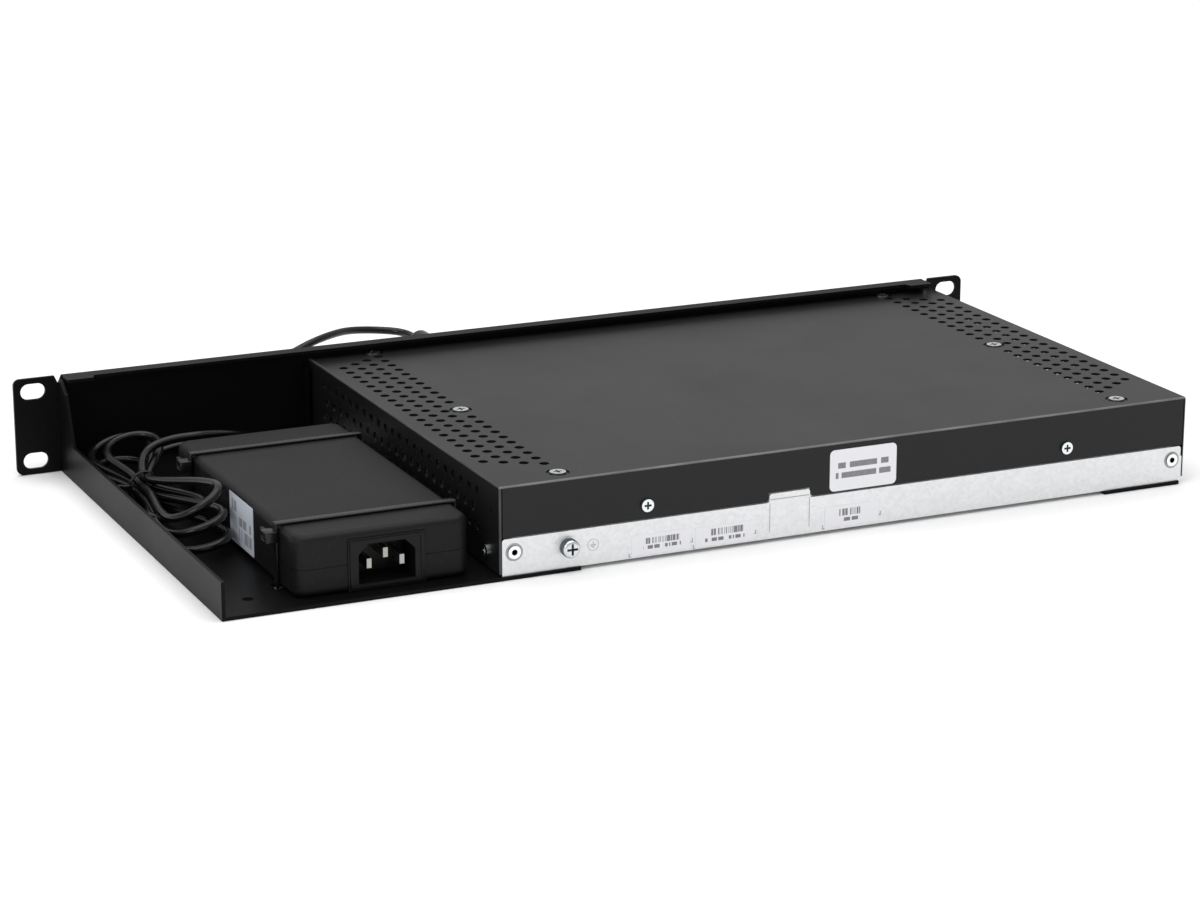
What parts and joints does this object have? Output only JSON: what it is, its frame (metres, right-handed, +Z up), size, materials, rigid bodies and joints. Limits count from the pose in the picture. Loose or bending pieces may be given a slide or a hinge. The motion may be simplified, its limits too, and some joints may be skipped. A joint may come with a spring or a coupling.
{
  "type": "rack mounted firewall appliance",
  "caption": "Steel-cased firewall appliance fixed in a one-unit rack tray beside its power adapter, with its low voltage cord tied in a hank.",
  "frame": {"origin": "on the plane where the ears meet the rack posts, half way between the four ear slots", "axes": "+X along the rack towards the adapter, +Y to the rear of the rack, +Z up"},
  "size_m": [0.4826, 0.2867, 0.044],
  "materials": {
    "tray_steel": "black powder coat, fine texture",
    "cover_steel": "black powder coat, satin",
    "zinc_plate": "bright zinc plate with faint mottling",
    "screw_steel": "zinc plated fasteners",
    "label_paper": "white polyester label",
    "adapter_plastic": "fine textured black polycarbonate",
    "inlet_plastic": "smooth black thermoplastic",
    "pin_brass": "nickel plated contact",
    "cord_jacket": "black flexible jacket, satin",
    "tie_nylon": "black nylon",
    "board_resin": "green solder mask on glass-epoxy",
    "chip_epoxy": "black moulded package",
    "sink_aluminium": "extruded, clear anodised",
    "pad_silicone": "grey gap filler",
    "jack_shield": "plated jack shield",
    "coil_ferrite": "sintered ferrite",
    "can_aluminium": "capacitor can",
    "cell_steel": "steel cell can",
    "button_plastic": "smooth moulded",
    "light_pipe_clear": "clear acrylic",
    "transformer_tape": "yellow wound tape over ferrite"
  },
  "bodies": {
    "root": {"rack_tray": "tray_steel", "top_cover": "cover_steel", "base_chassis": "zinc_plate", "port_plate": "zinc_plate", "cover_top_screws": "screw_steel", "cover_posts": "screw_steel", "cover_rear_screws": "screw_steel", "cover_side_screws": "screw_steel", "rear_rivet_nuts": "screw_steel", "ground_washer": "screw_steel", "ground_screw": "screw_steel", "rear_label_left": "label_paper", "rear_label_middle": "label_paper", "rear_label_right": "label_paper", "seal_label": "label_paper", "main_board": "board_resin", "board_standoffs": "pin_brass", "board_screws": "screw_steel", "network_jacks": "jack_shield", "console_jack": "jack_shield", "usb_port": "jack_shield", "power_jack": "inlet_plastic", "power_jack_pin": "pin_brass", "reset_switch": "chip_epoxy", "light_pipes": "light_pipe_clear", "status_lamps": "label_paper", "processor": "chip_epoxy", "thermal_pad": "pad_silicone", "heat_sink": "sink_aluminium", "switch_chip": "chip_epoxy", "line_transformers": "chip_epoxy", "memory_socket": "inlet_plastic", "memory_module": "board_resin", "storage_module": "board_resin", "storage_socket": "inlet_plastic", "power_inductors": "coil_ferrite", "board_capacitors": "can_aluminium", "clock_cell_holder": "inlet_plastic", "clock_cell": "cell_steel", "adapter_lower_shell": "adapter_plastic", "adapter_upper_shell": "adapter_plastic", "adapter_inlet": "inlet_plastic", "adapter_inlet_pins": "pin_brass", "adapter_board": "board_resin", "adapter_transformer": "transformer_tape", "adapter_capacitors": "can_aluminium", "adapter_heat_plates": "sink_aluminium", "adapter_label": "label_paper", "cord_strain_relief": "cord_jacket", "adapter_ties": "tie_nylon", "appliance_screws": "screw_steel", "cord_lead": "cord_jacket", "cord_hank": "cord_jacket", "cord_run": "cord_jacket", "cord_tie": "tie_nylon", "plug_grip": "cord_jacket", "plug_barrel": "pin_brass"},
    "button": {"reset_button": "button_plastic"}
  },
  "joints": [
    {"name": "reset_press", "type": "slide", "parent": "root", "child": "button", "axis": [0, 1, 0], "range_m": [0, 0.0008], "stiffness_N_per_m": 800}
  ]
}
